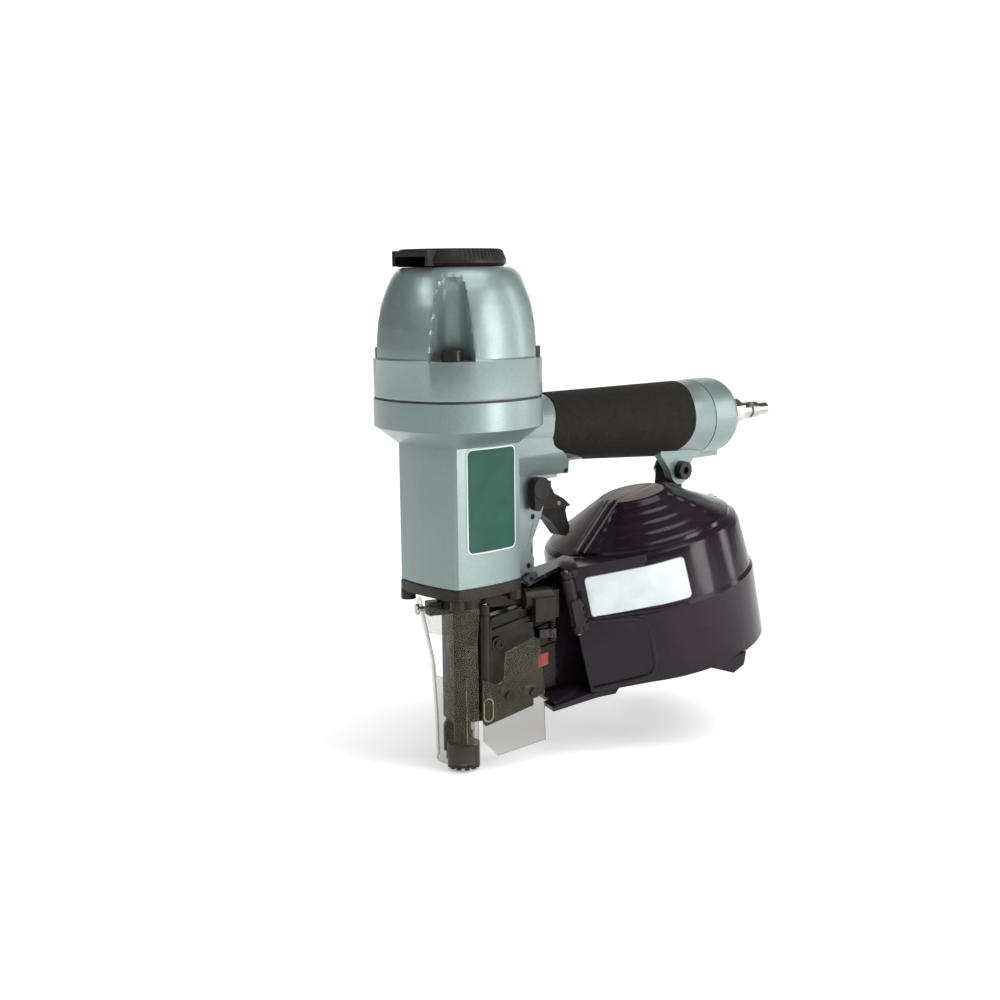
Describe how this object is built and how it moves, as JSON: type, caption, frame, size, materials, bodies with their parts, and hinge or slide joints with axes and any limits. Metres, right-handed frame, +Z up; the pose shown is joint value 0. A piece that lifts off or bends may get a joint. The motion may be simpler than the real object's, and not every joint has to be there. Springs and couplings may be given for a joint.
{
  "type": "coil nailer",
  "caption": "Pneumatic coil nailer: fluted head cap on a square barrel, rubber grip with air plug, smoky drum magazine with swing cover, track door, clear shields and trigger group.",
  "frame": {"origin": "bottom centre of the nail outlet, on the drive axis", "axes": "+Z up the drive axis from the nail outlet to the head cap, +X rearward along the handle to the air plug, -Y towards the near side with the track door, the magazine cover and the mode knob"},
  "size_m": [0.2982, 0.1244, 0.2699],
  "materials": {
    "casting": "pale green-silver metallic paint on cast aluminium, satin",
    "black_metal": "black oxide and paint, gloss",
    "black_plastic": "moulded, satin",
    "rubber_grip": "brown-black moulded rubber, fine grain",
    "rubber_seal": "matt",
    "bare_steel": "machined",
    "plated_steel": "polished plating",
    "bare_aluminium": "machined",
    "smoke_plastic": "dark smoky purple-brown see-through polycarbonate",
    "clear_plastic": "clear polycarbonate, faintly smoky, yellowed edges",
    "red_plastic": "see-through red",
    "label_green": "printed film, dark green with a thin pale border"
  },
  "bodies": {
    "root": {"main_body": "casting", "head_gasket": "rubber_seal", "head_cap": "casting", "head_bolts": "black_metal", "deflector_screw": "black_metal", "cylinder_sleeve": "bare_aluminium", "cylinder_rings": "rubber_seal", "bumper": "rubber_seal", "base_gasket": "rubber_seal", "nose_body": "black_metal", "nose_bolts": "black_metal", "nail_guide": "black_metal", "guide_insert": "red_plastic", "valve_body": "bare_steel", "web_pins": "black_metal", "grip_sleeve": "rubber_grip", "cap_gasket": "rubber_seal", "end_cap": "casting", "air_plug": "plated_steel", "magazine": "smoke_plastic", "hanger_bolt": "black_metal", "hanger_nut": "bare_steel", "tray_post": "bare_steel", "cover_hinge_pin": "bare_steel", "door_hinge_pin": "bare_steel", "front_shield": "clear_plastic", "shield_screws": "bare_steel", "feed_cylinder": "black_metal", "feed_cap": "black_metal", "head_valve_spring": "bare_steel", "lever_spring": "bare_steel", "plunger_spring": "bare_steel", "feed_spring": "bare_steel", "body_label": "label_green"},
    "deflector": {"deflector": "black_plastic"},
    "head_valve": {"head_valve": "black_plastic"},
    "piston": {"piston": "bare_aluminium", "piston_ring": "rubber_seal", "driver_blade": "bare_steel"},
    "push_lever": {"contact_tip": "black_metal", "push_lever": "black_metal"},
    "depth_wheel": {"depth_wheel": "black_plastic"},
    "valve_plunger": {"valve_plunger": "bare_steel"},
    "trigger": {"trigger": "black_plastic", "arm_pin": "bare_steel"},
    "trigger_arm": {"trigger_arm": "black_metal"},
    "mode_knob": {"mode_knob": "black_plastic"},
    "nail_tray": {"nail_tray": "smoke_plastic"},
    "magazine_cover": {"magazine_cover": "smoke_plastic", "latch_pin": "bare_steel"},
    "cover_latch": {"cover_latch": "black_plastic"},
    "guide_door": {"guide_door": "black_metal", "side_shield": "clear_plastic", "door_screws": "bare_steel"},
    "feeder": {"feed_piston": "bare_steel", "feeder": "black_metal", "pawl_spring": "bare_steel"},
    "feed_pawl": {"feed_pawl": "bare_steel"}
  },
  "joints": [
    {"name": "deflector_turn", "type": "hinge", "parent": "root", "child": "deflector", "pos_m": [0, 0, 0.265], "axis": [0, 0, 1], "continuous": true},
    {"name": "head_valve_lift", "type": "slide", "parent": "root", "child": "head_valve", "axis": [0, 0, 1], "range_m": [0, 0.004], "stiffness_N_per_m": 1500, "springref_m": -0.001, "deforming": ["head_valve_spring"]},
    {"name": "drive_stroke", "type": "slide", "parent": "root", "child": "piston", "axis": [0, 0, -1], "range_m": [0, 0.071]},
    {"name": "push_lever_travel", "type": "slide", "parent": "root", "child": "push_lever", "axis": [0, 0, 1], "range_m": [0, 0.012], "stiffness_N_per_m": 400, "springref_m": -0.006, "deforming": ["lever_spring"]},
    {"name": "depth_wheel_turn", "type": "hinge", "parent": "push_lever", "child": "depth_wheel", "pos_m": [0.0293, 0.0024, 0.0958], "axis": [0, 0, 1], "continuous": true},
    {"name": "valve_stroke", "type": "slide", "parent": "root", "child": "valve_plunger", "axis": [0, 0, 1], "range_m": [0, 0.002], "stiffness_N_per_m": 500, "springref_m": -0.001, "deforming": ["plunger_spring"]},
    {"name": "trigger_pull", "type": "hinge", "parent": "root", "child": "trigger", "pos_m": [0.042, 0, 0.146], "axis": [0, -1, 0], "range_deg": [0, 9], "stiffness_Nm_per_rad": 0.6, "springref_deg": -8.59},
    {"name": "trigger_arm_swing", "type": "hinge", "parent": "trigger", "child": "trigger_arm", "pos_m": [0.066, 0, 0.134], "axis": [0, 1, 0], "range_deg": [0, 5], "stiffness_Nm_per_rad": 0.02, "springref_deg": -5.73},
    {"name": "mode_knob_turn", "type": "hinge", "parent": "root", "child": "mode_knob", "pos_m": [0.042, 0, 0.146], "axis": [0, 1, 0], "range_deg": [0, 90]},
    {"name": "tray_height", "type": "slide", "parent": "root", "child": "nail_tray", "axis": [-0.2034, 0.074, 0.9763], "range_m": [0, 0.027]},
    {"name": "cover_swing", "type": "hinge", "parent": "root", "child": "magazine_cover", "pos_m": [0.18489, -0.02351, 0.09537], "axis": [-0.2034, 0.074, 0.9763], "range_deg": [0, 100]},
    {"name": "latch_turn", "type": "hinge", "parent": "magazine_cover", "child": "cover_latch", "pos_m": [0.04804, -0.03427, 0.08509], "axis": [-0.2034, 0.074, 0.9763], "range_deg": [0, 30], "stiffness_Nm_per_rad": 0.02, "springref_deg": -11.46},
    {"name": "door_swing", "type": "hinge", "parent": "root", "child": "guide_door", "pos_m": [0.00334, -0.0142, 0.06], "axis": [0, 0, -1], "range_deg": [0, 45]},
    {"name": "feed_stroke", "type": "slide", "parent": "root", "child": "feeder", "axis": [0.9397, -0.342, 0], "range_m": [0, 0.005], "stiffness_N_per_m": 600, "springref_m": -0.002},
    {"name": "pawl_swing", "type": "hinge", "parent": "feeder", "child": "feed_pawl", "pos_m": [0.04268, -0.02426, 0.0693], "axis": [0, 0, 1], "range_deg": [0, 15], "stiffness_Nm_per_rad": 0.01, "springref_deg": -11.46}
  ]
}
